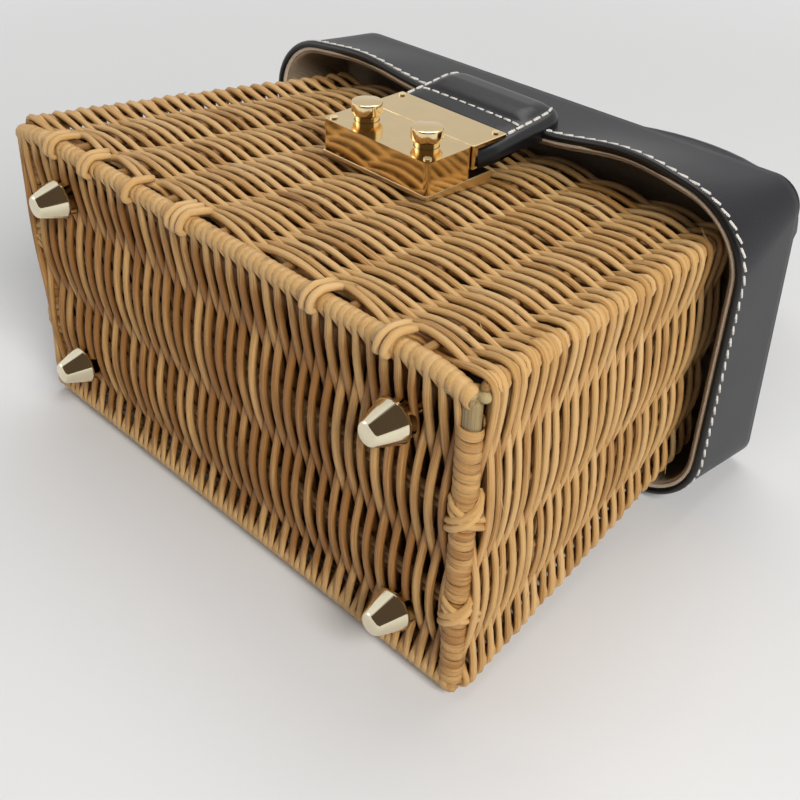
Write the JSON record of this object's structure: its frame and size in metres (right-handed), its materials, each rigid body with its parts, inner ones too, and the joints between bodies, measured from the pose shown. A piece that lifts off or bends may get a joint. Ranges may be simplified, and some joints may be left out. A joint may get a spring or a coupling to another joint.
{
  "type": "woven box bag",
  "caption": "Woven cane box bag with a leather lid on a back hinge, a push-button metal lock with a padded tab, turned metal feet and a rolled top handle.",
  "frame": {"origin": "centre of the footprint, on the floor under the bag, which lies on its back as in the picture", "axes": "+X to the bag's right seen from its front, +Y from the feet to the lid and handle, +Z out of the bag's front"},
  "size_m": [0.2036, 0.268, 0.1158],
  "materials": {
    "cane": "satin",
    "cane_dark": "satin",
    "leather": "grained",
    "gold": "polished",
    "pale_gold": "polished",
    "cloth": "matt",
    "beige": "matt"
  },
  "bodies": {
    "basket": {"weave_front": "cane", "weave_back": "cane", "weave_left": "cane", "weave_right": "cane", "weave_base": "cane_dark", "edge_rod_front": "cane", "edge_rod_back": "cane", "edge_rod_left": "cane", "edge_rod_right": "cane", "edge_bindings": "cane", "face_stakes_set": "cane_dark", "end_stakes_set": "cane_dark", "corner_stakes": "cane_dark", "base_stakes": "cane_dark", "border_rod": "cane", "cloth_lining": "cloth", "hinge_strip": "leather", "hinge_rivets": "gold", "foot_front_left": "pale_gold", "foot_front_right": "pale_gold", "foot_back_left": "pale_gold", "foot_back_right": "pale_gold", "foot_screws": "gold", "foot_washers": "gold", "lock_base_plate": "gold", "lock_case": "gold", "case_rivets": "gold", "spring_left": "pale_gold", "spring_right": "pale_gold"},
    "lid": {"hasp_plate": "gold", "hasp_tongue": "gold", "hasp_rivets": "gold", "lock_tab": "leather", "lid_skirt": "leather", "lid_top": "leather", "rim_piping": "leather", "lid_lining": "beige", "handle_grip": "leather", "handle_base_left": "leather", "handle_base_right": "leather", "handle_studs": "gold"},
    "left_button": {"button_left": "gold"},
    "right_button": {"button_right": "gold"}
  },
  "joints": [
    {"name": "lid_hinge", "type": "hinge", "parent": "basket", "child": "lid", "pos_m": [0, -0.01698, 0.002], "axis": [-1, 0, 0], "range_deg": [0, 60]},
    {"name": "left_button_press", "type": "slide", "parent": "basket", "child": "left_button", "axis": [0, 0, -1], "range_m": [0, 0.0018], "stiffness_N_per_m": 400, "deforming": ["spring_left"]},
    {"name": "right_button_press", "type": "slide", "parent": "basket", "child": "right_button", "axis": [0, 0, -1], "range_m": [0, 0.0018], "stiffness_N_per_m": 400, "deforming": ["spring_right"]}
  ]
}
